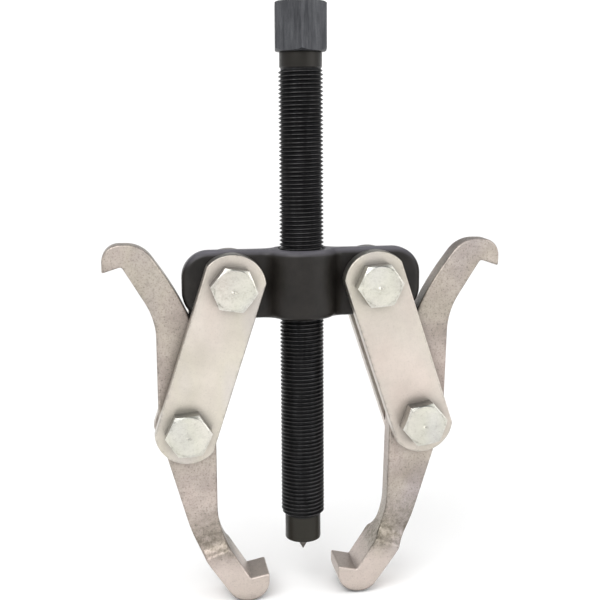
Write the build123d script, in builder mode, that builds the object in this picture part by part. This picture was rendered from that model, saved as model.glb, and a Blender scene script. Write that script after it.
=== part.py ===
"""Two-jaw reversible gear puller.

Millimetres, +Z up along the forcing screw. The origin is the centre of the flat
end of the screw's nose. X runs from the left jaw to the right jaw, and the bolt
heads face -Y.
"""

from build123d import *
from math import asin, cos, degrees, radians, sin, tan
import os

os.makedirs("parts", exist_ok=True)

# Forcing screw: 5/8-18 thread, 11/16 inch drive hex
screw_d = 15.6
screw_head_af = 17.46
screw_head_height = 16.6
screw_head_turn = 6.2
screw_neck_d = 14.8
screw_neck_length = 5.8
thread_length = 160.0
nose_d = 12.95
nose_length = 9.4
nose_edge = 0.6
thread_end_chamfer = 0.9
head_chamfer_angle = 28.0
head_face_inset = 0.3

# Live centre held in the nose behind a spun-over lip
point_tip_d = 5.56
point_cone_height = 4.8
point_stem_d = 5.7
point_flange_d = 8.6
point_flange_height = 4.4
nose_lip = 1.5
point_end_play = 0.1
point_seat_height = 0.05

# Bar that the cross arm and the jaws are forged from
bar_thickness = 7.94

# Cross arm
arm_length = 85.0
arm_height = 24.2
arm_thickness = bar_thickness
arm_corner_radius = 9.5
arm_edge_radius = 2.4
arm_base_z = 83.3
hub_d = 25.0
hub_blend_radius = 4.0
hub_bore_chamfer = 0.8

# Pivots and links
pivot_from_arm_end = 17.1
link_spacing = 53.0
link_spread_angle = 18.1
link_width = 21.4
link_end_radius = 11.7
link_thickness = 5.56
link_edge_radius = 0.6

# Jaws, measured from the jaw's pivot: X outwards, Z up. The right jaw hangs a
# little further in than the left one
right_jaw_lean = 1.7
jaw_thickness = bar_thickness
hook_width = 16.0
shank_outer = 10.0
shank_inner = 10.2
jaw_edge_radius = 0.8
hook_face_drop = 55.3
hook_reach = 28.3
hook_face_length = 6.8
hook_face_rise = 1.4
hook_depth = 10.1
hook_radius = 7.2
heel_length = 4.75
lower_outer_slope = 34.3
lower_outer_radius = 64.0
lower_outer_bend_z = -44.5
lower_inner_slope = 32.0
lower_inner_radius = 29.0
shank_outer_radius = 57.0
shank_outer_bend_z = -1.5
hook_corner_radius = 0.5
flare_start = 41.0
flare_length = 8.0
flare_crest_radius = 2.5
flare_tilt = 20.0
upper_hook_rise = 55.7
upper_hook_reach = 27.9
upper_hook_depth = 9.7
upper_hook_face_length = 6.7
upper_hook_face_rise = 2.1
upper_root_radius = 1.2
upper_outer_slope = 30.8
upper_outer_radius = 26.0
upper_inner_slope = 35.2
upper_inner_radius = 103.0
crown_length = 13.9
crown_radius = 11.0
crown_tip_radius = 6.0

# Pivot bolts: 3/8 inch, 9/16 inch hex, with nylon-insert lock nuts
bolt_d = 9.525
bolt_head_af = 14.29
bolt_head_height = 6.2
bolt_end_beyond_nut = 2.0
bolt_head_edge = 0.7
bolt_face_inset = 0.2
bolt_end_chamfer = 0.8
head_dimple_d = 2.2
head_dimple_depth = 0.4
nut_hex_height = 7.6
nut_collar_height = 3.4
nut_collar_d = 12.8
insert_d = 11.4
insert_height = 2.6
nut_crimp = 0.4
nut_turn = 12.0

# Fits
screw_clearance = 0.06
pivot_clearance = 0.06
point_clearance = 0.05
nut_clearance = 0.04
side_clearance = 0.35

# Derived places
upper_pivot_x = arm_length / 2 - pivot_from_arm_end
arm_mid_z = arm_base_z + arm_height / 2
neck_base_z = nose_length + thread_length
head_base_z = neck_base_z + screw_neck_length
head_top_z = head_base_z + screw_head_height
plate_thickness = max(arm_thickness, jaw_thickness)
link_inner_y = plate_thickness / 2 + side_clearance
link_outer_y = link_inner_y + link_thickness
lower_pivot_x = upper_pivot_x + link_spacing * sin(radians(link_spread_angle))
lower_pivot_z = arm_mid_z - link_spacing * cos(radians(link_spread_angle))
pivot_hole_r = bolt_d / 2 + pivot_clearance

# Each side of the puller: name, direction along X
sides = [("left", -1), ("right", 1)]

# Each pivot: name, X, Z, and how far its bolt head is turned
pivots = [
    ("upper_left", -upper_pivot_x, arm_mid_z, -9.0),
    ("upper_right", upper_pivot_x, arm_mid_z, 5.0),
    ("lower_left", -lower_pivot_x, lower_pivot_z, 4.0),
    ("lower_right", lower_pivot_x, lower_pivot_z, 10.0),
]

finished = []


def finish(piece, name):
    """Label a finished piece and write it to its own file."""
    piece.part.label = name
    export_step(piece.part, f"parts/{name}.step")
    finished.append(name)


# ---------------------------------------------------------------- cross arm
with BuildPart() as cross_arm:
    with BuildSketch(Plane.XZ):
        with Locations((0, arm_mid_z)):
            RectangleRounded(arm_length, arm_height, arm_corner_radius)
    extrude(amount=arm_thickness / 2, both=True)
    with BuildSketch(Plane.XY.offset(arm_base_z)):
        Circle(hub_d / 2)
    extrude(amount=arm_height)
    hub_corners = (
        cross_arm.edges()
        .filter_by(Axis.Z)
        .filter_by(lambda edge: abs(edge.center().X) < hub_d / 2)
        .filter_by(lambda edge: abs(abs(edge.center().Y) - arm_thickness / 2) < 0.01)
    )
    fillet(hub_corners, radius=hub_blend_radius)
    rims = cross_arm.edges().filter_by(
        lambda edge: abs(abs(edge.center().Y) - arm_thickness / 2) < 0.01
        and edge.length > 0.01
    )
    hub_rims = cross_arm.faces().filter_by(Axis.Z).edges().filter_by(GeomType.CIRCLE)
    fillet(rims + hub_rims, radius=arm_edge_radius)
    with BuildSketch(Plane.XY.offset(arm_base_z)):
        Circle(screw_d / 2 + screw_clearance)
    extrude(amount=arm_height, mode=Mode.SUBTRACT)
    bore_rims = cross_arm.edges().filter_by(GeomType.CIRCLE).filter_by(
        lambda edge: abs(edge.radius - screw_d / 2 - screw_clearance) < 0.001
    )
    chamfer(bore_rims, length=hub_bore_chamfer)
    with BuildSketch(Plane.XZ):
        with Locations((-upper_pivot_x, arm_mid_z), (upper_pivot_x, arm_mid_z)):
            Circle(pivot_hole_r)
    extrude(amount=arm_thickness, both=True, mode=Mode.SUBTRACT)
finish(cross_arm, "cross_arm")


# ---------------------------------------------------------------- forcing screw
head_corner_r = screw_head_af / 2 / cos(radians(30))
head_face_r = screw_head_af / 2 - head_face_inset
head_chamfer_drop = (head_corner_r - head_face_r) * tan(radians(head_chamfer_angle))
cavity_r = point_flange_d / 2 + point_clearance
cavity_top_z = nose_lip + point_flange_height + 2 * point_end_play
thread_r = screw_d / 2
nose_r = nose_d / 2
neck_r = screw_neck_d / 2
lip_r = point_stem_d / 2 + point_clearance

with BuildPart() as forcing_screw:
    with BuildSketch(Plane.XY.offset(head_base_z)):
        RegularPolygon(
            screw_head_af / 2,
            6,
            major_radius=False,
            rotation=-90 - screw_head_turn,
        )
    extrude(amount=screw_head_height)
    with BuildSketch(Plane.XZ):
        with BuildLine():
            Polyline(
                (0, head_base_z),
                (head_face_r, head_base_z),
                (head_corner_r, head_base_z + head_chamfer_drop),
                (head_corner_r, head_top_z - head_chamfer_drop),
                (head_face_r, head_top_z),
                (0, head_top_z),
                close=True,
            )
        make_face()
    revolve(axis=Axis.Z, mode=Mode.INTERSECT)
    with BuildSketch(Plane.XZ):
        with BuildLine():
            Polyline(
                (lip_r, 0),
                (nose_r - nose_edge, 0),
                (nose_r, nose_edge),
                (nose_r, nose_length),
                (thread_r, nose_length + thread_end_chamfer),
                (thread_r, neck_base_z - thread_end_chamfer / 2),
                (neck_r, neck_base_z),
                (neck_r, head_base_z),
                (0, head_base_z),
                (0, cavity_top_z),
                (cavity_r, cavity_top_z),
                (cavity_r, nose_lip),
                (lip_r, nose_lip),
                close=True,
            )
        make_face()
    revolve(axis=Axis.Z)
finish(forcing_screw, "forcing_screw")

# ---------------------------------------------------------------- centre point
flange_base_z = nose_lip + point_end_play
with BuildPart() as centre_point:
    with BuildSketch(Plane.XZ):
        with BuildLine():
            Polyline(
                (0, -point_cone_height),
                (point_tip_d / 2, 0),
                (point_stem_d / 2, point_seat_height),
                (point_stem_d / 2, flange_base_z),
                (point_flange_d / 2, flange_base_z),
                (point_flange_d / 2, flange_base_z + point_flange_height),
                (0, flange_base_z + point_flange_height),
                close=True,
            )
        make_face()
    revolve(axis=Axis.Z)
finish(centre_point, "centre_point")

# ---------------------------------------------------------------- links
for side, direction in sides:
    link_run = Vector(
        direction * (lower_pivot_x - upper_pivot_x), 0, lower_pivot_z - arm_mid_z
    ).normalized()
    link_middle = Vector(
        direction * (upper_pivot_x + lower_pivot_x) / 2,
        0,
        (arm_mid_z + lower_pivot_z) / 2,
    )
    for place, facing in [("front", -1), ("rear", 1)]:
        link_plane = Plane(
            origin=link_middle + Vector(0, facing * link_inner_y, 0),
            x_dir=link_run,
            z_dir=(0, facing, 0),
        )
        with BuildPart() as link:
            with BuildSketch(link_plane):
                SlotCenterToCenter(link_spacing, 2 * link_end_radius)
                Rectangle(
                    link_spacing + 4 * link_end_radius,
                    link_width,
                    mode=Mode.INTERSECT,
                )
                with Locations((-link_spacing / 2, 0), (link_spacing / 2, 0)):
                    Circle(pivot_hole_r, mode=Mode.SUBTRACT)
            extrude(amount=link_thickness)
            outer_face = link.faces().sort_by(Axis.Y)[-1 if facing > 0 else 0]
            fillet(outer_face.outer_wire().edges(), radius=link_edge_radius)
        finish(link, f"link_{place}_{side}")


# ---------------------------------------------------------------- jaws
def jaw_outline():
    """Corners of a jaw around its pivot, each with the radius it is rounded to.

    It starts at the tip of the upper hook and goes down the outer edge, round
    the lower hook and back up the inner edge. Slopes are angles from vertical.
    """
    upper_root_x = upper_hook_reach - upper_hook_face_length
    upper_root_z = upper_hook_rise + upper_hook_face_rise
    upper_run = upper_root_x - shank_outer
    upper_back_z = upper_root_z - upper_run / tan(radians(upper_outer_slope))
    lower_face_z = -hook_face_drop
    hook_floor_z = lower_face_z - hook_depth
    heel_x = -hook_reach + hook_radius + heel_length
    lower_run = (lower_outer_bend_z - hook_floor_z) * tan(radians(lower_outer_slope))
    root_x = -hook_reach + hook_face_length
    root_z = lower_face_z - hook_face_rise
    inner_bend_z = root_z - (root_x + shank_inner) / tan(radians(lower_inner_slope))
    crown_x = upper_hook_reach - crown_length
    crown_z = upper_hook_rise + upper_hook_depth
    inner_run = crown_x + shank_inner
    inner_back_z = crown_z - inner_run / tan(radians(upper_inner_slope))
    return [
        (upper_hook_reach, upper_hook_rise, hook_corner_radius),
        (upper_root_x, upper_root_z, upper_root_radius),
        (shank_outer, upper_back_z, upper_outer_radius),
        (shank_outer, shank_outer_bend_z, shank_outer_radius),
        (heel_x + lower_run, lower_outer_bend_z, lower_outer_radius),
        (heel_x, hook_floor_z, hook_radius),
        (-hook_reach, hook_floor_z, hook_radius),
        (-hook_reach, lower_face_z, hook_corner_radius),
        (root_x, root_z, hook_corner_radius),
        (-shank_inner, inner_bend_z, lower_inner_radius),
        (-shank_inner, inner_back_z, upper_inner_radius),
        (crown_x, crown_z, crown_radius),
        (upper_hook_reach, crown_z, crown_tip_radius),
    ]


flare_step = (hook_width - jaw_thickness) / 2
flare_radii = (flare_length**2 + flare_step**2) / (2 * flare_step)
flare_root_radius = flare_radii - flare_crest_radius
flare_turn = degrees(asin(flare_length / flare_radii))
past_jaw = 100.0

with BuildPart() as jaw:
    pivot = Vector(lower_pivot_x, 0, lower_pivot_z)
    with BuildSketch(Plane(origin=pivot, x_dir=(1, 0, 0), z_dir=(0, -1, 0))):
        corners = jaw_outline()
        with BuildLine():
            FilletPolyline(
                *[(x, z) for x, z, r in corners],
                radius=[r for x, z, r in corners],
                close=True,
            )
        make_face()
    extrude(amount=hook_width / 2, both=True)
    tilt = radians(flare_tilt)
    with BuildSketch(
        Plane(origin=pivot, x_dir=(0, 1, 0), z_dir=(cos(tilt), 0, -sin(tilt)))
    ):
        with BuildLine():
            half = jaw_thickness / 2
            half_hook = hook_width / 2
            Line((-half, -flare_start), (-half, past_jaw))
            Line((-half, past_jaw), (half, past_jaw))
            Line((half, past_jaw), (half, -flare_start))
            right_flare = JernArc(
                (half, -flare_start), (0, -1), flare_root_radius, flare_turn
            )
            right_crest = JernArc(
                right_flare @ 1, right_flare % 1, flare_crest_radius, -flare_turn
            )
            Line(right_crest @ 1, (half_hook, -past_jaw))
            Line((half_hook, -past_jaw), (-half_hook, -past_jaw))
            left_flare = JernArc(
                (-half, -flare_start), (0, -1), flare_root_radius, -flare_turn
            )
            left_crest = JernArc(
                left_flare @ 1, left_flare % 1, flare_crest_radius, flare_turn
            )
            Line(left_crest @ 1, (-half_hook, -past_jaw))
        make_face()
    extrude(amount=past_jaw, both=True, mode=Mode.INTERSECT)
    side_faces = jaw.faces().filter_by(
        lambda face: abs(face.normal_at().Y) > 0.4
    )
    side_edges = [edge for face in side_faces for edge in face.outer_wire().edges()]
    rim_edges = [
        edge
        for edge in side_edges
        if sum(edge.is_same(other) for other in side_edges) == 1
    ]
    fillet(rim_edges, radius=jaw_edge_radius)
    with BuildSketch(Plane(origin=pivot, x_dir=(1, 0, 0), z_dir=(0, -1, 0))):
        Circle(pivot_hole_r)
    extrude(amount=hook_width, both=True, mode=Mode.SUBTRACT)

with BuildPart() as jaw_right:
    add(jaw.part.rotate(Axis(pivot, (0, 1, 0)), right_jaw_lean))
finish(jaw_right, "jaw_right")

with BuildPart() as jaw_left:
    mirror(jaw.part, about=Plane.YZ)
finish(jaw_left, "jaw_left")

# ---------------------------------------------------------------- bolts and nuts
bolt_corner_r = bolt_head_af / 2 / cos(radians(30))
bolt_face_r = bolt_head_af / 2 - bolt_face_inset
nut_base_y = link_outer_y
collar_base_y = nut_base_y + nut_hex_height
nut_end_y = collar_base_y + nut_collar_height
bolt_end_y = nut_end_y + bolt_end_beyond_nut
insert_base_y = nut_end_y - nut_crimp - insert_height
thread_hole_r = bolt_d / 2 + nut_clearance

for name, pivot_x, pivot_z, turn in pivots:
    axis_plane = Plane(
        origin=(pivot_x, 0, pivot_z), x_dir=(1, 0, 0), z_dir=(0, -1, 0)
    )
    turning_plane = Plane(
        origin=(pivot_x, 0, pivot_z), x_dir=(1, 0, 0), z_dir=(0, 0, -1)
    )
    bolt_axis = Axis((pivot_x, 0, pivot_z), (0, 1, 0))

    with BuildPart() as bolt:
        with BuildSketch(axis_plane.offset(link_outer_y)):
            RegularPolygon(bolt_head_af / 2, 6, major_radius=False, rotation=turn)
        extrude(amount=bolt_head_height)
        with BuildSketch(turning_plane):
            with BuildLine():
                head_y = link_outer_y + bolt_head_height
                Polyline(
                    (0, head_y - head_dimple_depth),
                    (head_dimple_d / 2, head_y),
                    (bolt_face_r, head_y),
                    (bolt_corner_r, head_y - bolt_head_edge),
                    (bolt_corner_r, link_outer_y),
                    (0, link_outer_y),
                    close=True,
                )
            make_face()
        revolve(axis=bolt_axis, mode=Mode.INTERSECT)
        with BuildSketch(turning_plane):
            with BuildLine():
                Polyline(
                    (0, link_outer_y),
                    (bolt_d / 2, link_outer_y),
                    (bolt_d / 2, bolt_end_chamfer - bolt_end_y),
                    (bolt_d / 2 - bolt_end_chamfer, -bolt_end_y),
                    (0, -bolt_end_y),
                    close=True,
                )
            make_face()
        revolve(axis=bolt_axis)
    finish(bolt, f"bolt_{name}")

    with BuildPart() as nut:
        with BuildSketch(axis_plane.offset(-nut_base_y)):
            RegularPolygon(bolt_head_af / 2, 6, major_radius=False, rotation=nut_turn - turn)
        extrude(amount=-nut_hex_height)
        with BuildSketch(turning_plane):
            with BuildLine():
                Polyline(
                    (0, -nut_base_y),
                    (bolt_face_r, -nut_base_y),
                    (bolt_corner_r, -nut_base_y - bolt_head_edge),
                    (bolt_corner_r, -collar_base_y + bolt_head_edge),
                    (bolt_face_r, -collar_base_y),
                    (0, -collar_base_y),
                    close=True,
                )
            make_face()
        revolve(axis=bolt_axis, mode=Mode.INTERSECT)
        with BuildSketch(axis_plane.offset(-collar_base_y)):
            Circle(nut_collar_d / 2)
        extrude(amount=-nut_collar_height)
        with BuildSketch(axis_plane.offset(-nut_base_y)):
            Circle(thread_hole_r)
        extrude(amount=nut_base_y - nut_end_y, mode=Mode.SUBTRACT)
        with BuildSketch(axis_plane.offset(-insert_base_y)):
            Circle(insert_d / 2)
        extrude(amount=-insert_height, mode=Mode.SUBTRACT)
    finish(nut, f"lock_nut_{name}")

    with BuildPart() as insert:
        with BuildSketch(axis_plane.offset(-insert_base_y)):
            Circle(insert_d / 2)
            Circle(thread_hole_r, mode=Mode.SUBTRACT)
        extrude(amount=-insert_height)
    finish(insert, f"nylon_insert_{name}")

print(len(finished), "nodes")
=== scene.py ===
"""Looks of the two-jaw gear puller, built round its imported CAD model.

Metres, +Z up along the forcing screw, bolt heads facing -Y, as in the CAD frame.
"""

from math import cos, pi, radians, sin, tan

import bmesh
import bpy
from mathutils import Matrix, Vector


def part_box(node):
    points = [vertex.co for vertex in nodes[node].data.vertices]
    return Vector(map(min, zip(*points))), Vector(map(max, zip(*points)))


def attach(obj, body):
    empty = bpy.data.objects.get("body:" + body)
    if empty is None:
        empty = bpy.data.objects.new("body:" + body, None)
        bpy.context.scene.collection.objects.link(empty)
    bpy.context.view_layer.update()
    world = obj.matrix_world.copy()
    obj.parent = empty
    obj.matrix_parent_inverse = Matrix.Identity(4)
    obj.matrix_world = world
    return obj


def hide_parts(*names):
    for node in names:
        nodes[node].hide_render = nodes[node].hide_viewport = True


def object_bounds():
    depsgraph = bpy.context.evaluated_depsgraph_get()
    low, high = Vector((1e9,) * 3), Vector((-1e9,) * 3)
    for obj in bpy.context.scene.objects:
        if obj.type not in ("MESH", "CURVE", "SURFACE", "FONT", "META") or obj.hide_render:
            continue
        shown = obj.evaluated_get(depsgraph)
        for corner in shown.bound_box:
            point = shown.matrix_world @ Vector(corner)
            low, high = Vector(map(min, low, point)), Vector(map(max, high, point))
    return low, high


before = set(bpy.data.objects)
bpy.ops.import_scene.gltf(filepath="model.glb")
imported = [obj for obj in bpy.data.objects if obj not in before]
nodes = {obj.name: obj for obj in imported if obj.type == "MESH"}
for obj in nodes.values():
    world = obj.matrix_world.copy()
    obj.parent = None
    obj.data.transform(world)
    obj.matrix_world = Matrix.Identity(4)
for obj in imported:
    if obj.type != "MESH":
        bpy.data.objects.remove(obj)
cad_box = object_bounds()
scene = bpy.context.scene
MM = 0.001


# ------------------------------------------------------------------ mesh helpers
def new_piece(name, mesh_data, body, slot_name, replaced):
    """Put a mesh in the scene with its finish, riding on a body in place of some CAD nodes."""
    piece = bpy.data.objects.new(name, mesh_data)
    scene.collection.objects.link(piece)
    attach(piece, body)
    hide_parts(*replaced)
    dress(piece, slot_name)


def finish_mesh(bm, name, sharp_angle=32.0):
    """Clean a bmesh, mark its sharp edges, shade it smooth and store it."""
    bmesh.ops.remove_doubles(bm, verts=bm.verts, dist=1e-7)
    bmesh.ops.dissolve_degenerate(bm, edges=bm.edges, dist=1e-7)
    bmesh.ops.recalc_face_normals(bm, faces=bm.faces)
    for face in bm.faces:
        face.smooth = True
    limit = radians(sharp_angle)
    for edge in bm.edges:
        edge.smooth = len(edge.link_faces) == 2 and edge.calc_face_angle(0) < limit
    data = bpy.data.meshes.new(name)
    bm.to_mesh(data)
    bm.free()
    return data


def ring(bm, radius_at, height_at, angles):
    """A ring of vertices round Z, with its radius and height worked out for each angle."""
    vertices = []
    for angle in angles:
        radius = radius_at(angle)
        place = (radius * cos(angle), radius * sin(angle), height_at(angle))
        vertices.append(bm.verts.new(place))
    return vertices


def bridge(bm, lower, upper):
    """Quads between two rings of the same length."""
    count = len(lower)
    for i in range(count):
        after = (i + 1) % count
        bm.faces.new((lower[i], lower[after], upper[after], upper[i]))


def close_rings(bm, rings):
    """Quads from each ring to the next, and from the last back to the first."""
    for lower, upper in zip(rings, rings[1:] + rings[:1]):
        bridge(bm, lower, upper)


def turned(bm, profile, angles, cap_start=True, cap_end=True):
    """A surface of revolution round Z from (radius, height) points."""
    rings = [ring(bm, lambda a, r=r: r, lambda a, z=z: z, angles) for r, z in profile]
    for lower, upper in zip(rings, rings[1:]):
        bridge(bm, lower, upper)
    if cap_start:
        bm.faces.new(rings[0][::-1])
    if cap_end:
        bm.faces.new(rings[-1])


def circle_angles(count, start=0.0):
    return [start + 2 * pi * i / count for i in range(count)]


def rounded(profile, radius, steps=4):
    """A (radius, height) profile with its inner corners rounded."""
    out = [profile[0]]
    for before, corner, after in zip(profile, profile[1:], profile[2:]):
        a, b, c = Vector(before), Vector(corner), Vector(after)
        to_a, to_c = (a - b), (c - b)
        reach = min(radius, to_a.length * 0.45, to_c.length * 0.45)
        start, end = b + to_a.normalized() * reach, b + to_c.normalized() * reach
        for i in range(steps + 1):
            t = i / steps
            point = start * (1 - t) ** 2 + b * 2 * t * (1 - t) + end * t**2
            out.append((point.x, point.y))
    out.append(profile[-1])
    return out


# ------------------------------------------------------------------ sizes the materials use
screw_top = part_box("forcing_screw")[1].z
THREAD_R = 7.8 * MM
PITCH = 1.411 * MM
THREAD_END_R = 6.95 * MM  # where the thread runs out under the neck
NOSE_R = 6.475 * MM
NOSE_TOP = 9.4 * MM
NECK_BASE = 169.4 * MM
NECK_TOP = 175.2 * MM
NECK_R = 7.4 * MM
HEAD_FLATS = 17.46 * MM
HEAD_TURN = radians(-90 - 6.2 + 30)  # a corner stands 6.2 degrees off the front
POINT_LIP_R = 2.9 * MM  # the spun-over lip that holds the centre point
POINT_LIP_H = 1.5 * MM
POINT_CAVITY_R = 4.35 * MM
POINT_CAVITY_TOP = 6.1 * MM
CREST_LOW, CREST_HIGH = THREAD_R - 0.18 * MM, THREAD_R - 0.02 * MM  # where the thread's crests are rubbed

# Heights of the painted dark reflection on the jaws' flare and the painted light on their hooks, each fading
# in or out between two values
FLARE_FADE_IN = (-4 * MM, -1 * MM)
FLARE_FADE_OUT = (3 * MM, 17 * MM)
HOOK_FADE_OUT = (-8 * MM, -3 * MM)


# ------------------------------------------------------------------ materials
def material(name, base, metallic, roughness):
    """A Principled material and its node tree's parts."""
    made = bpy.data.materials.new(name)
    made.use_nodes = True
    shader = made.node_tree.nodes["Principled BSDF"]
    shader.inputs["Base Color"].default_value = (*base, 1)
    shader.inputs["Metallic"].default_value = metallic
    shader.inputs["Roughness"].default_value = roughness
    return made, made.node_tree, shader


def add(tree, kind, **settings):
    node = tree.nodes.new(kind)
    for key, value in settings.items():
        setattr(node, key, value)
    return node


def noise(tree, scale, detail=4.0, roughness=0.55, stretch=(1, 1, 1)):
    """3-D noise in the frame's metres; scale is in features per metre."""
    place = add(tree, "ShaderNodeTexCoord")
    mapping = add(tree, "ShaderNodeMapping")
    mapping.inputs["Scale"].default_value = stretch
    texture = add(tree, "ShaderNodeTexNoise")
    texture.inputs["Scale"].default_value = scale
    texture.inputs["Detail"].default_value = detail
    texture.inputs["Roughness"].default_value = roughness
    tree.links.new(place.outputs["Object"], mapping.inputs["Vector"])
    tree.links.new(mapping.outputs["Vector"], texture.inputs["Vector"])
    return texture.outputs["Fac"]


def ramp(tree, value, stops):
    """A colour ramp over a value: (position, colour) stops."""
    node = add(tree, "ShaderNodeValToRGB")
    elements = node.color_ramp.elements
    while len(elements) < len(stops):
        elements.new(0.5)
    for element, (position, colour) in zip(elements, stops):
        element.position = position
        element.color = (*colour, 1)
    tree.links.new(value, node.inputs["Fac"])
    return node.outputs["Color"]


def spread(tree, value, low, high, to_low, to_high):
    """A value remapped and clamped."""
    node = add(tree, "ShaderNodeMapRange")
    node.inputs["From Min"].default_value = low
    node.inputs["From Max"].default_value = high
    node.inputs["To Min"].default_value = to_low
    node.inputs["To Max"].default_value = to_high
    tree.links.new(value, node.inputs["Value"])
    return node.outputs["Result"]


def mix(tree, share, first, second, kind="MIX"):
    """Two colours mixed by a share; each is a socket or a colour."""
    node = add(tree, "ShaderNodeMix", data_type="RGBA", blend_type=kind)
    for socket, value in ((node.inputs[0], share), (node.inputs[6], first), (node.inputs[7], second)):
        if isinstance(value, bpy.types.NodeSocket):
            tree.links.new(value, socket)
        elif isinstance(value, float):
            socket.default_value = value
        else:
            socket.default_value = (*value, 1)
    return node.outputs[2]


def maths(tree, operation, first, second=None):
    node = add(tree, "ShaderNodeMath", operation=operation)
    for socket, value in zip(node.inputs, (first, second)):
        if isinstance(value, bpy.types.NodeSocket):
            tree.links.new(value, socket)
        elif value is not None:
            socket.default_value = value
    return node.outputs["Value"]


def convex_edge_mask(tree, radius, low=0.02, high=0.3):
    """1 near convex edges and 0 on open faces, from the rounded normal."""
    bevel = add(tree, "ShaderNodeBevel", samples=4)
    bevel.inputs["Radius"].default_value = radius
    geometry = add(tree, "ShaderNodeNewGeometry")
    dot = add(tree, "ShaderNodeVectorMath", operation="DOT_PRODUCT")
    tree.links.new(bevel.outputs["Normal"], dot.inputs[0])
    tree.links.new(geometry.outputs["Normal"], dot.inputs[1])
    return spread(tree, maths(tree, "SUBTRACT", 1.0, dot.outputs["Value"]), low, high, 0.0, 1.0)


def bumps(tree, shader, layers):
    """Stack bump layers of (height socket, distance in metres, strength)."""
    normal = None
    for relief, distance, strength in layers:
        node = add(tree, "ShaderNodeBump")
        node.inputs["Distance"].default_value = distance
        node.inputs["Strength"].default_value = strength
        tree.links.new(relief, node.inputs["Height"])
        if normal is not None:
            tree.links.new(normal, node.inputs["Normal"])
        normal = node.outputs["Normal"]
    tree.links.new(normal, shader.inputs["Normal"])


def axis_distance(tree, x, y):
    """Distance from a line parallel to Z through (x, y)."""
    place = add(tree, "ShaderNodeTexCoord")
    parts = add(tree, "ShaderNodeSeparateXYZ")
    tree.links.new(place.outputs["Object"], parts.inputs["Vector"])
    dx = maths(tree, "SUBTRACT", parts.outputs["X"], x)
    dy = maths(tree, "SUBTRACT", parts.outputs["Y"], y)
    squares = maths(tree, "ADD", maths(tree, "MULTIPLY", dx, dx), maths(tree, "MULTIPLY", dy, dy))
    return maths(tree, "SQRT", squares)


def painted_crevice_shade(tree, reach, low, high):
    """0 deep in a gap between pieces and 1 on open faces, for painting shade into crevices."""
    node = add(tree, "ShaderNodeAmbientOcclusion", samples=6)
    node.inputs["Distance"].default_value = reach
    return spread(tree, node.outputs["AO"], low, high, 0.0, 1.0)


def height(tree, low, high):
    """0 to 1 between two heights in the frame."""
    place = add(tree, "ShaderNodeTexCoord")
    parts = add(tree, "ShaderNodeSeparateXYZ")
    tree.links.new(place.outputs["Object"], parts.inputs["Vector"])
    return spread(tree, parts.outputs["Z"], low, high, 0.0, 1.0)


def facing_up(tree, low, high):
    """0 on upright faces and 1 on faces that look up, whichever way the piece is swung."""
    geometry = add(tree, "ShaderNodeNewGeometry")
    parts = add(tree, "ShaderNodeSeparateXYZ")
    tree.links.new(geometry.outputs["Normal"], parts.inputs["Vector"])
    return spread(tree, parts.outputs["Z"], low, high, 0.0, 1.0)


def black_forging():
    """Satin black finish on a forged, shot-blasted arm, with painted light on the faces that look up."""
    made, tree, shader = material("black_forging", (0.012, 0.010, 0.009), 0.2, 0.42)
    shader.inputs["Specular IOR Level"].default_value = 0.3
    blotch = noise(tree, 90, 5, 0.6)
    grain = noise(tree, 1400, 3, 0.6)
    colour = ramp(tree, blotch, [(0.3, (0.006, 0.005, 0.0042)), (0.7, (0.018, 0.0155, 0.0135))])
    # Painted light: faces that look up are lightened, patchy with the blotches.
    painted_top_light = maths(tree, "MULTIPLY", facing_up(tree, 0.25, 0.95), spread(tree, blotch, 0.25, 0.75, 0.6, 1.0))
    colour = mix(tree, painted_top_light, colour, (0.135, 0.13, 0.15))
    scuffs = spread(tree, noise(tree, 420, 4), 0.45, 0.75, 0.05, 0.6)
    worn = maths(tree, "MULTIPLY", convex_edge_mask(tree, 0.0012), scuffs)
    colour = mix(tree, worn, colour, (0.085, 0.082, 0.09))
    tree.links.new(colour, shader.inputs["Base Color"])
    tree.links.new(spread(tree, blotch, 0.3, 0.7, 0.34, 0.50), shader.inputs["Roughness"])
    bumps(tree, shader, [(blotch, 0.0004, 0.25), (grain, 0.00007, 0.45)])
    return made


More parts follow.
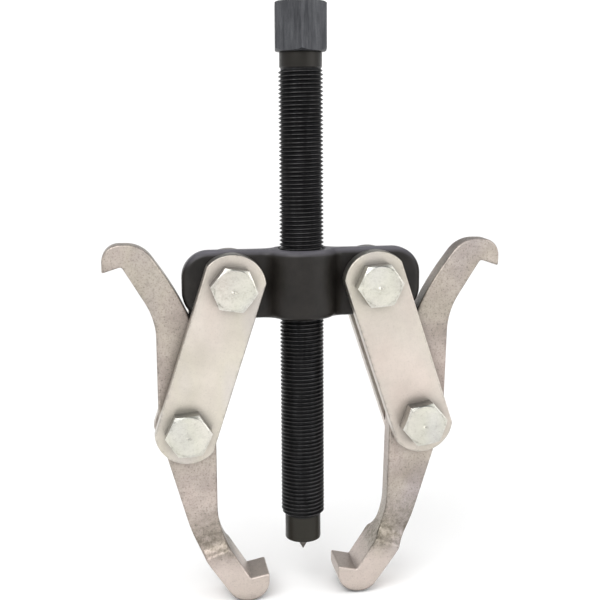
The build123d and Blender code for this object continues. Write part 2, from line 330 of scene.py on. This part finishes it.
def black_screw():
    """Black oxide: dark on the thread, greyer and brushed on the head, crests rubbed."""
    made, tree, shader = material("black_screw", (0.012, 0.012, 0.013), 0.5, 0.36)
    shader.inputs["Specular IOR Level"].default_value = 0.3
    blotch = noise(tree, 160, 4, 0.6)
    streak = noise(tree, 700, 4, 0.65, stretch=(1, 1, 0.12))
    grain = noise(tree, 2600, 2, 0.5)
    colour = ramp(tree, blotch, [(0.3, (0.005, 0.005, 0.0055)), (0.7, (0.013, 0.0125, 0.013))])
    distance = axis_distance(tree, 0.0, 0.0)
    crest = spread(tree, distance, CREST_LOW, CREST_HIGH, 0.0, 0.6)
    crest = maths(tree, "MULTIPLY", crest, spread(tree, streak, 0.35, 0.7, 0.2, 1.0))
    colour = mix(tree, crest, colour, (0.10, 0.097, 0.092))
    head = height(tree, NECK_TOP - 0.1 * MM, NECK_TOP + 0.1 * MM)
    brushes = [(0.32, (0.030, 0.031, 0.035)), (0.5, (0.056, 0.057, 0.062)), (0.7, (0.085, 0.088, 0.094))]
    brushed = ramp(tree, streak, brushes)
    specks = spread(tree, grain, 0.35, 0.65, 0.0, 0.35)
    brushed = mix(tree, specks, brushed, (0.035, 0.037, 0.042))
    colour = mix(tree, head, colour, brushed)
    neck = maths(tree, "SUBTRACT", height(tree, NECK_BASE, NECK_BASE + 0.6 * MM), head)
    colour = mix(tree, maths(tree, "MULTIPLY", neck, 0.8), colour, (0.018, 0.016, 0.013))
    nose = maths(tree, "SUBTRACT", 1.0, height(tree, NOSE_TOP - 0.4 * MM, NOSE_TOP))
    colour = mix(tree, maths(tree, "MULTIPLY", nose, 0.9), colour, (0.026, 0.024, 0.019))
    worn = maths(tree, "MULTIPLY", convex_edge_mask(tree, 0.0005), spread(tree, streak, 0.4, 0.7, 0.1, 0.6))
    colour = mix(tree, worn, colour, (0.13, 0.135, 0.15))
    tree.links.new(colour, shader.inputs["Base Color"])
    uneven = spread(tree, blotch, 0.3, 0.7, 0.28, 0.42)
    rough = maths(tree, "ADD", uneven, maths(tree, "MULTIPLY", head, 0.14))
    tree.links.new(rough, shader.inputs["Roughness"])
    bumps(tree, shader, [(streak, 0.00008, 0.35), (grain, 0.00003, 0.35)])
    return made


def zinc(name, light, dark, roughness, speckle, mottle, grain_size, painted_top_reflection=0.0, flare_painted_reflection=0.0):
    """Zinc plating: cloudy grey with dark specks, coloured films, painted rim highlights and painted crevice
    shade.

    The second-last argument paints a dark reflection on the faces that look up. The last paints a
    dark reflection where a jaw widens into its hook, and painted light on the hook below it.
    """
    made, tree, shader = material(name, light, 0.82, roughness)
    cloud = noise(tree, 60, 6, 0.62)
    patch = noise(tree, 30, 3, 0.5)
    film = noise(tree, 38, 2, 0.5, stretch=(1, 1, 0.6))
    mottling = noise(tree, grain_size * 0.34, 4, 0.7)
    specks = noise(tree, grain_size, 3, 0.65)
    colour = ramp(tree, cloud, [(0.32, dark), (0.66, light)])
    tinge = [
        (0.3, (1.0, 0.89, 0.87)),
        (0.44, (1.0, 0.96, 0.94)),
        (0.56, (0.98, 0.97, 0.90)),
        (0.7, (0.94, 0.93, 1.0)),
    ]
    colour = mix(tree, 0.75, colour, ramp(tree, film, tinge), "MULTIPLY")
    stain = spread(tree, patch, 0.52, 0.68, 0.0, mottle)
    stain = maths(tree, "MULTIPLY", stain, spread(tree, mottling, 0.3, 0.6, 0.3, 1.0))
    colour = mix(tree, stain, colour, (0.24, 0.23, 0.17))
    blots = spread(tree, mottling, 0.50, 0.72, 0.0, mottle * 0.6)
    colour = mix(tree, blots, colour, tuple(c * 0.55 for c in dark))
    dots = spread(tree, specks, 0.54, 0.70, 0.0, speckle)
    colour = mix(tree, dots, colour, tuple(c * 0.3 for c in dark))
    # Painted highlight along the convex rims, with a painted dark reflection line just inside it.
    rim = convex_edge_mask(tree, 0.0011, 0.01, 0.22)
    line = spread(tree, rim, 0.0, 0.12, 0.0, 1.0)
    line = maths(tree, "MULTIPLY", line, spread(tree, rim, 0.12, 0.45, 1.0, 0.0))
    line = maths(tree, "MULTIPLY", line, spread(tree, mottling, 0.42, 0.6, 0.1, 0.75))
    colour = mix(tree, line, colour, (0.07, 0.07, 0.06))
    painted_rim_highlight = spread(tree, rim, 0.45, 1.0, 0.0, 0.7)
    painted_rim_highlight = maths(tree, "MULTIPLY", painted_rim_highlight, spread(tree, mottling, 0.3, 0.6, 1.0, 0.55))
    colour = mix(tree, painted_rim_highlight, colour, (0.86, 0.86, 0.85))
    # Painted dark reflection on the faces that look up, in streaks.
    if painted_top_reflection:
        reflection_streak = spread(tree, noise(tree, 260, 3, 0.6, stretch=(0.4, 3.0, 1)), 0.35, 0.62, 0.55, 1.0)
        reflection_share = maths(tree, "MULTIPLY", facing_up(tree, 0.28, 0.55), reflection_streak)
        colour = mix(tree, maths(tree, "MULTIPLY", reflection_share, painted_top_reflection), colour, (0.018, 0.026, 0.028))
    # Painted dark reflection on the band where a jaw widens into its hook.
    if flare_painted_reflection:
        above = maths(tree, "SUBTRACT", 1.0, height(tree, *FLARE_FADE_OUT))
        flare_reflection_band = maths(tree, "MULTIPLY", height(tree, *FLARE_FADE_IN), above)
        flare_reflection_band = maths(tree, "MULTIPLY", flare_reflection_band, spread(tree, mottling, 0.32, 0.62, 0.25, 1.0))
        colour = mix(tree, maths(tree, "MULTIPLY", flare_reflection_band, flare_painted_reflection), colour, (0.115, 0.10, 0.07))
        # Painted light on the hook below the flare.
        painted_hook_light = maths(tree, "SUBTRACT", 1.0, height(tree, *HOOK_FADE_OUT))
        colour = mix(tree, maths(tree, "MULTIPLY", painted_hook_light, 0.5), colour, (0.66, 0.57, 0.525))
    # Painted shade: colour darkens deep in the gaps between pieces.
    shade = painted_crevice_shade(tree, 0.006, 0.15, 0.85)
    colour = mix(tree, shade, tuple(c * 0.22 for c in dark), colour)
    tree.links.new(colour, shader.inputs["Base Color"])
    worn = spread(tree, cloud, 0.3, 0.7, roughness + 0.07, roughness - 0.06)
    tree.links.new(maths(tree, "ADD", worn, maths(tree, "MULTIPLY", dots, 0.2)), shader.inputs["Roughness"])
    bumps(tree, shader, [(cloud, 0.0003, 0.2), (mottling, 0.00012, 0.4), (specks, 0.00006, 0.5)])
    return made


def nylon():
    """Natural nylon, a little translucent, cloudy and faintly bumpy."""
    made, tree, shader = material("nylon", (0.72, 0.74, 0.70), 0.0, 0.42)
    shader.inputs["Subsurface Weight"].default_value = 0.25
    shader.inputs["Subsurface Radius"].default_value = (0.0012, 0.0012, 0.0010)
    cloud = noise(tree, 700, 3, 0.6)
    colour = ramp(tree, cloud, [(0.3, (0.60, 0.62, 0.58)), (0.7, (0.80, 0.81, 0.77))])
    tree.links.new(colour, shader.inputs["Base Color"])
    tree.links.new(spread(tree, cloud, 0.3, 0.7, 0.36, 0.5), shader.inputs["Roughness"])
    bumps(tree, shader, [(cloud, 0.00008, 0.4)])
    return made


def hardened_steel():
    """The ground live centre."""
    made, tree, shader = material("hardened_point", (0.10, 0.09, 0.085), 0.9, 0.35)
    rings = noise(tree, 900, 2, 0.5, stretch=(0.2, 0.2, 4.0))
    colour = ramp(tree, rings, [(0.35, (0.06, 0.052, 0.048)), (0.65, (0.15, 0.135, 0.12))])
    tree.links.new(colour, shader.inputs["Base Color"])
    tree.links.new(spread(tree, rings, 0.3, 0.7, 0.28, 0.45), shader.inputs["Roughness"])
    bumps(tree, shader, [(rings, 0.00004, 0.4)])
    return made


finishes = {
    "black_forging": black_forging(),
    "black_screw": black_screw(),
    "hardened_point": hardened_steel(),
    "zinc_forging": zinc(
        "zinc_forging",
        light=(0.53, 0.475, 0.435),
        dark=(0.33, 0.29, 0.265),
        roughness=0.40,
        speckle=0.65,
        mottle=0.6,
        grain_size=1500,
        flare_painted_reflection=0.75,
    ),
    "zinc_strap": zinc(
        "zinc_strap",
        light=(0.62, 0.58, 0.53),
        dark=(0.52, 0.485, 0.44),
        roughness=0.36,
        speckle=0.14,
        mottle=0.1,
        grain_size=1900,
        painted_top_reflection=0.75,
    ),
    "zinc_fastener": zinc(
        "zinc_fastener",
        light=(0.67, 0.66, 0.61),
        dark=(0.50, 0.495, 0.455),
        roughness=0.2,
        speckle=0.25,
        mottle=0.3,
        grain_size=1700,
        painted_top_reflection=0.97,
    ),
    "nylon": nylon(),
}


def dress(piece, name):
    """Give a piece one finish."""
    piece.data.materials.clear()
    piece.data.materials.append(finishes[name])


# ------------------------------------------------------------------ hex shapes
HEX_SEGMENTS = 96


def hex_radius(flats, turn):
    """Distance from a hexagon's middle to its edge, as a function of angle."""
    step = pi / 3

    def at(angle):
        off = (angle - turn + step / 2) % step - step / 2
        return flats / 2 / cos(off)

    return at


# ------------------------------------------------------------------ forcing screw
# One pitch of the thread: (share of the pitch, depth in mm at the screw's pitch)
THREAD_FORM = [(0.0, 0.03), (0.06, 0.0), (0.125, 0.03), (0.46, 0.78), (0.56, 0.86), (0.66, 0.78)]


def thread(bm, radius, pitch, form, base, top, base_r, top_r, run_in, segments):
    """A helical thread round Z from base to top, closed down to base_r and top_r."""
    depth_unit = MM * pitch / PITCH
    turns = int((top - base) / pitch) + 3
    start = base - pitch
    rows = []
    for i in range(turns * segments + 1):
        angle = 2 * pi * i / segments
        row = []
        for share, depth in form:
            z = start + pitch * (i / segments + share)
            r = radius - depth * depth_unit
            r = min(r, base_r + max(0.0, z - base) * run_in, top_r + max(0.0, top - z) * run_in)
            if z <= base:
                z, r = base, base_r
            if z >= top:
                z, r = top, top_r
            row.append(bm.verts.new((r * cos(angle), r * sin(angle), z)))
        rows.append(row)
    for i in range(len(rows) - 1):
        here, after = rows[i], rows[i + 1]
        for j in range(len(form) - 1):
            bm.faces.new((here[j], after[j], after[j + 1], here[j + 1]))
        if i + segments + 1 < len(rows):
            above, above_after = rows[i + segments], rows[i + segments + 1]
            bm.faces.new((here[-1], after[-1], above_after[0], above[0]))


def drop_slivers(bm):
    """Merge doubled vertices and drop faces that have no area."""
    bmesh.ops.remove_doubles(bm, verts=bm.verts, dist=2e-8)
    empty = [f for f in bm.faces if f.calc_area() < 1e-13]
    bmesh.ops.delete(bm, geom=empty, context="FACES_ONLY")
    loose = [v for v in bm.verts if not v.link_faces]
    bmesh.ops.delete(bm, geom=loose, context="VERTS")


def hex_block(bm, flats, turn, base, top, base_slope, top_slope, inset, crown=((0.35, 0.0), (0.8, 0.0))):
    """A hexagonal head round Z with turned chamfers on its end faces.

    The crown is the shape of the top face: (share of its radius, depth) of each ring.
    """
    edge = hex_radius(flats, turn)
    face_r = flats / 2 - inset
    angles = circle_angles(HEX_SEGMENTS, turn + pi / 6)

    def low(angle):
        return base + max(0.0, edge(angle) - face_r) * base_slope

    def high(angle):
        return top - max(0.0, edge(angle) - face_r) * top_slope

    rings = []
    for share, drop in crown:
        rings.append(ring(bm, lambda a, s=share: face_r * s, lambda a, d=drop: top - d, angles))
    rings.append(ring(bm, lambda a: face_r, lambda a: top, angles))
    for step in (0.34, 0.67, 1.0):
        rings.append(
            ring(
                bm,
                lambda a, s=step: face_r + (edge(a) - face_r) * s,
                lambda a, s=step: top - max(0.0, edge(a) - face_r) * s * top_slope,
                angles,
            )
        )
    for share in (0.25, 0.5, 0.75, 1.0):
        rings.append(ring(bm, edge, lambda a, s=share: high(a) * (1 - s) + low(a) * s, angles))
    rings.append(ring(bm, lambda a: face_r, lambda a: base, angles))
    for upper, lower in zip(rings, rings[1:]):
        bridge(bm, lower, upper)
    bm.faces.new(rings[0])
    bm.faces.new(rings[-1][::-1])


def build_screw():
    segments = 64
    angles = circle_angles(segments)
    bm = bmesh.new()
    thread(bm, THREAD_R, PITCH, THREAD_FORM, NOSE_TOP, NECK_BASE, NOSE_R, THREAD_END_R, 1.1, segments)
    nose = rounded([(POINT_LIP_R, 0.0), (NOSE_R, 0.0), (NOSE_R, NOSE_TOP)], 0.6 * MM)
    turned(bm, nose, angles, cap_start=False, cap_end=False)
    cavity = [
        (POINT_LIP_R, 0.0),
        (POINT_LIP_R, POINT_LIP_H),
        (POINT_CAVITY_R, POINT_LIP_H),
        (POINT_CAVITY_R, POINT_CAVITY_TOP),
    ]
    turned(bm, cavity, angles, cap_start=False)
    neck = [
        (THREAD_END_R, NECK_BASE),
        (NECK_R - 0.25 * MM, NECK_BASE + 0.35 * MM),
        (NECK_R, NECK_BASE + 0.7 * MM),
        (NECK_R, NECK_TOP - 0.5 * MM),
        (NECK_R - 0.15 * MM, NECK_TOP),
    ]
    turned(bm, neck, angles, cap_start=False)
    drop_slivers(bm)
    chamfer = tan(radians(28))
    hex_block(bm, HEAD_FLATS, HEAD_TURN, NECK_TOP, screw_top, chamfer, chamfer, 0.3 * MM)
    name = "forcing_screw_threaded"
    new_piece(name, finish_mesh(bm, name, 28), "forcing_screw", "black_screw", ["forcing_screw"])


# ------------------------------------------------------------------ bolts and nuts
HEAD_H = 6.2 * MM
BOLT_FLATS = 14.29 * MM
BOLT_R = 4.7625 * MM
BOLT_PITCH = 1.5875 * MM
BOLT_END_R = BOLT_R - 0.8 * MM
BOLT_RUN_OUT_R = BOLT_R - 0.05 * MM
BOLT_SHANK_R = BOLT_R - 0.03 * MM
BOLT_THREAD_LENGTH = 15 * MM
BOLT_SEGMENTS = 48
# The small dimple in a head: (share of the top face's radius, depth)
DIMPLE = [(0.05, 0.38 * MM), (0.11, 0.2 * MM), (0.165, 0.03 * MM), (0.2, 0.0), (0.6, 0.0), (0.97, 0.0)]
NUT_HEX_H = 7.6 * MM
NUT_TURN = 12.0
NUT_HOLE_R = BOLT_R + 0.04 * MM
COLLAR_R = 6.4 * MM
INSERT_SEAT_R = 5.7 * MM
INSERT_SEAT_DEPTH = 3.0 * MM
CHAMFER = tan(radians(30))
# How far each bolt's head is turned, in degrees
PIVOTS = [("upper_left", -9.0), ("upper_right", 5.0), ("lower_left", 4.0), ("lower_right", 10.0)]


def bolt_place(name):
    """From a bolt's own axes to the frame: local +Z points to the head (-Y), X stays, Y is +Z."""
    low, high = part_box(f"bolt_{name}")
    axis = Vector(((low.x + high.x) / 2, 0, (low.z + high.z) / 2))
    return Matrix.Translation(axis) @ Matrix(((1, 0, 0, 0), (0, 0, -1, 0), (0, 1, 0, 0), (0, 0, 0, 1)))


def fastener_piece(bm, node, slot_name, sharp_angle):
    """Put a bolt, nut or insert drawn round Z on its bolt's axis, in place of its CAD node."""
    pivot = "_".join(node.split("_")[-2:])
    side = node.split("_")[-1]
    bmesh.ops.transform(bm, matrix=bolt_place(pivot), verts=bm.verts)
    name = f"{node}_detailed"
    new_piece(name, finish_mesh(bm, name, sharp_angle), f"links_{side}", slot_name, [node])


def build_bolt(name, turn):
    low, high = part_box(f"bolt_{name}")
    head_top, tail = -low.y, -high.y
    head_base = head_top - HEAD_H
    thread_top = tail + BOLT_THREAD_LENGTH
    angles = circle_angles(BOLT_SEGMENTS)
    bm = bmesh.new()
    thread(
        bm, BOLT_R, BOLT_PITCH, THREAD_FORM, tail, thread_top, BOLT_END_R, BOLT_RUN_OUT_R, 1.0, BOLT_SEGMENTS
    )
    turned(bm, [(BOLT_END_R, tail), (0.6 * MM, tail)], angles, cap_start=False)
    turned(bm, [(BOLT_RUN_OUT_R, thread_top), (BOLT_SHANK_R, head_base)], angles, cap_start=False)
    drop_slivers(bm)
    head_turn = radians(turn) + pi / 6
    hex_block(bm, BOLT_FLATS, head_turn, head_base, head_top, 0.0, CHAMFER, 0.25 * MM, DIMPLE)
    fastener_piece(bm, f"bolt_{name}", "zinc_fastener", 26)


def build_nut(name, turn, base, end):
    """The lock nut, from its face at base to its collar's end."""
    hex_end = base - NUT_HEX_H
    edge = hex_radius(BOLT_FLATS, radians(NUT_TURN - turn) + pi / 6)
    face_r = BOLT_FLATS / 2 - 0.2 * MM
    angles = circle_angles(HEX_SEGMENTS, radians(NUT_TURN - turn) + pi / 3)

    def drop(angle):
        return max(0.0, edge(angle) - face_r) * CHAMFER

    bm = bmesh.new()
    rings = [ring(bm, lambda a, r=r: r, lambda a: base, angles) for r in (NUT_HOLE_R, face_r)]
    for s in (0.5, 1.0):
        rings.append(
            ring(bm, lambda a, s=s: face_r + (edge(a) - face_r) * s, lambda a, s=s: base - drop(a) * s, angles)
        )
    for s in (0.33, 0.67, 1.0):
        rings.append(
            ring(bm, edge, lambda a, s=s: (base - drop(a)) * (1 - s) + (hex_end + drop(a)) * s, angles)
        )
    collar = [
        (face_r, hex_end),
        (COLLAR_R, hex_end - 0.02 * MM),
        (COLLAR_R, end + 0.1 * MM),
        (COLLAR_R - 0.75 * MM, end),
        (INSERT_SEAT_R - 0.3 * MM, end + 0.15 * MM),
        (INSERT_SEAT_R - 0.35 * MM, end + 0.4 * MM),
        (INSERT_SEAT_R, end + 0.42 * MM),
        (INSERT_SEAT_R, end + INSERT_SEAT_DEPTH),
        (NUT_HOLE_R, end + INSERT_SEAT_DEPTH),
    ]
    for r, z in rounded(collar, 0.45 * MM, 3):
        rings.append(ring(bm, lambda a, r=r: r, lambda a, z=z: z, angles))
    close_rings(bm, rings)
    fastener_piece(bm, f"lock_nut_{name}", "zinc_fastener", 26)


def build_insert(name, nut_end):
    """The nylon ring in the nut's collar."""
    inner_r, outer_r = BOLT_R + 0.02 * MM, INSERT_SEAT_R - 0.02 * MM
    top, bottom = nut_end + 0.44 * MM, nut_end + INSERT_SEAT_DEPTH - 0.02 * MM
    middle = (inner_r, (top + bottom) / 2)
    section = [
        middle,
        (inner_r, top + 0.1 * MM),
        (inner_r + 0.3 * MM, top - 0.03 * MM),
        (outer_r, top),
        (outer_r, bottom),
        (inner_r, bottom),
        middle,
    ]
    angles = circle_angles(64)
    bm = bmesh.new()
    outline = rounded(section, 0.12 * MM, 3)[:-1]
    close_rings(bm, [ring(bm, lambda a, r=r: r, lambda a, z=z: z, angles) for r, z in outline])
    fastener_piece(bm, f"nylon_insert_{name}", "nylon", 40)


def build_fastener(name, turn):
    nut_low, nut_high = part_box(f"lock_nut_{name}")
    build_bolt(name, turn)
    build_nut(name, turn, -nut_low.y, -nut_high.y)
    build_insert(name, -nut_high.y)


# ------------------------------------------------------------------ make the object
for node_name, slot_name in (
    ("cross_arm", "black_forging"),
    ("centre_point", "hardened_point"),
    ("jaw_left", "zinc_forging"),
    ("jaw_right", "zinc_forging"),
    ("link_front_left", "zinc_strap"),
    ("link_front_right", "zinc_strap"),
    ("link_rear_left", "zinc_strap"),
    ("link_rear_right", "zinc_strap"),
):
    dress(nodes[node_name], slot_name)
build_screw()
for pivot_name, head_turn in PIVOTS:
    build_fastener(pivot_name, head_turn)


# ------------------------------------------------------------------ stage, light, camera
def build_stage():
    """A pale floor that curves up into a backdrop, well clear of the object."""
    floor_z = cad_box[0].z
    bm = bmesh.new()
    reach, back, top, radius, steps = 3.0, 1.6, 0.48, 0.4, 16
    line = [(-reach, 0.0), (back - radius, 0.0)]
    for i in range(1, steps + 1):
        angle = pi / 2 * i / steps
        line.append((back - radius + radius * sin(angle), radius - radius * cos(angle)))
    line.append((back, top))
    rows = [[bm.verts.new((x, y, floor_z + z)) for y, z in line] for x in (-reach, reach)]
    for i in range(len(line) - 1):
        bm.faces.new((rows[0][i], rows[1][i], rows[1][i + 1], rows[0][i + 1]))
    data = finish_mesh(bm, "stage_sweep", 60)
    sweep = bpy.data.objects.new("stage_sweep", data)
    scene.collection.objects.link(sweep)
    made, _, shader = material("stage_pale", (0.97, 0.97, 0.97), 0.0, 0.9)
    shader.inputs["Specular IOR Level"].default_value = 0.1
    data.materials.append(made)


def area_light(name, place, target, size, power):
    data = bpy.data.lights.new(name, "AREA")
    data.shape = "RECTANGLE"
    data.size, data.size_y = size
    data.energy = power
    light = bpy.data.objects.new(name, data)
    scene.collection.objects.link(light)
    light.location = place
    light.rotation_euler = (Vector(target) - Vector(place)).to_track_quat("-Z", "Y").to_euler()


def build_light():
    """White all round, but for a dark band above the backdrop, which bright facets reflect."""
    world = bpy.data.worlds.new("studio")
    scene.world = world
    world.use_nodes = True
    background = world.node_tree.nodes["Background"]
    background.inputs["Color"].default_value = (1.0, 1.0, 1.0, 1)
    tree = world.node_tree
    direction = add(tree, "ShaderNodeTexCoord")
    parts = add(tree, "ShaderNodeSeparateXYZ")
    tree.links.new(direction.outputs["Generated"], parts.inputs["Vector"])
    behind = spread(tree, parts.outputs["Y"], 0.25, 0.45, 0.0, 1.0)
    low = spread(tree, parts.outputs["Z"], 0.20, 0.27, 0.0, 1.0)
    over = spread(tree, parts.outputs["Z"], 0.55, 0.8, 1.0, 0.0)
    dark = maths(tree, "MULTIPLY", behind, maths(tree, "MULTIPLY", low, over))
    bright_strength, dark_strength = 1.06, 0.04
    strength = spread(tree, dark, 0.0, 1.0, bright_strength, dark_strength)
    tree.links.new(strength, background.inputs["Strength"])
    middle = (0, 0, 0.09)
    area_light("key", (-0.5, -0.7, 0.9), middle, (0.9, 0.6), 7)
    area_light("fill", (0.8, -0.6, 0.4), middle, (0.8, 0.8), 3)
    scene.view_settings.view_transform = "Standard"


def build_camera():
    """The photo's view: from 8.9 degrees round to the left, looking slightly down."""
    data = bpy.data.cameras.new("view")
    data.sensor_width = 36.0
    data.lens = 63.0
    camera = bpy.data.objects.new("view", data)
    scene.collection.objects.link(camera)
    azimuth, pitch, roll = radians(8.9), radians(9.8), radians(-0.32)
    distance, lens_height = 0.3691, 0.1526
    aim = radians(8.80)
    camera.location = (-distance * sin(azimuth), -distance * cos(azimuth), lens_height)
    forward = Vector((sin(aim) * cos(pitch), cos(aim) * cos(pitch), -sin(pitch)))
    facing = forward.to_track_quat("-Z", "Y").to_matrix().to_4x4()
    camera.rotation_euler = (facing @ Matrix.Rotation(roll, 4, "Z")).to_euler()
    data.clip_start, data.clip_end = 0.01, 20
    scene.camera = camera


build_stage()
build_light()
build_camera()
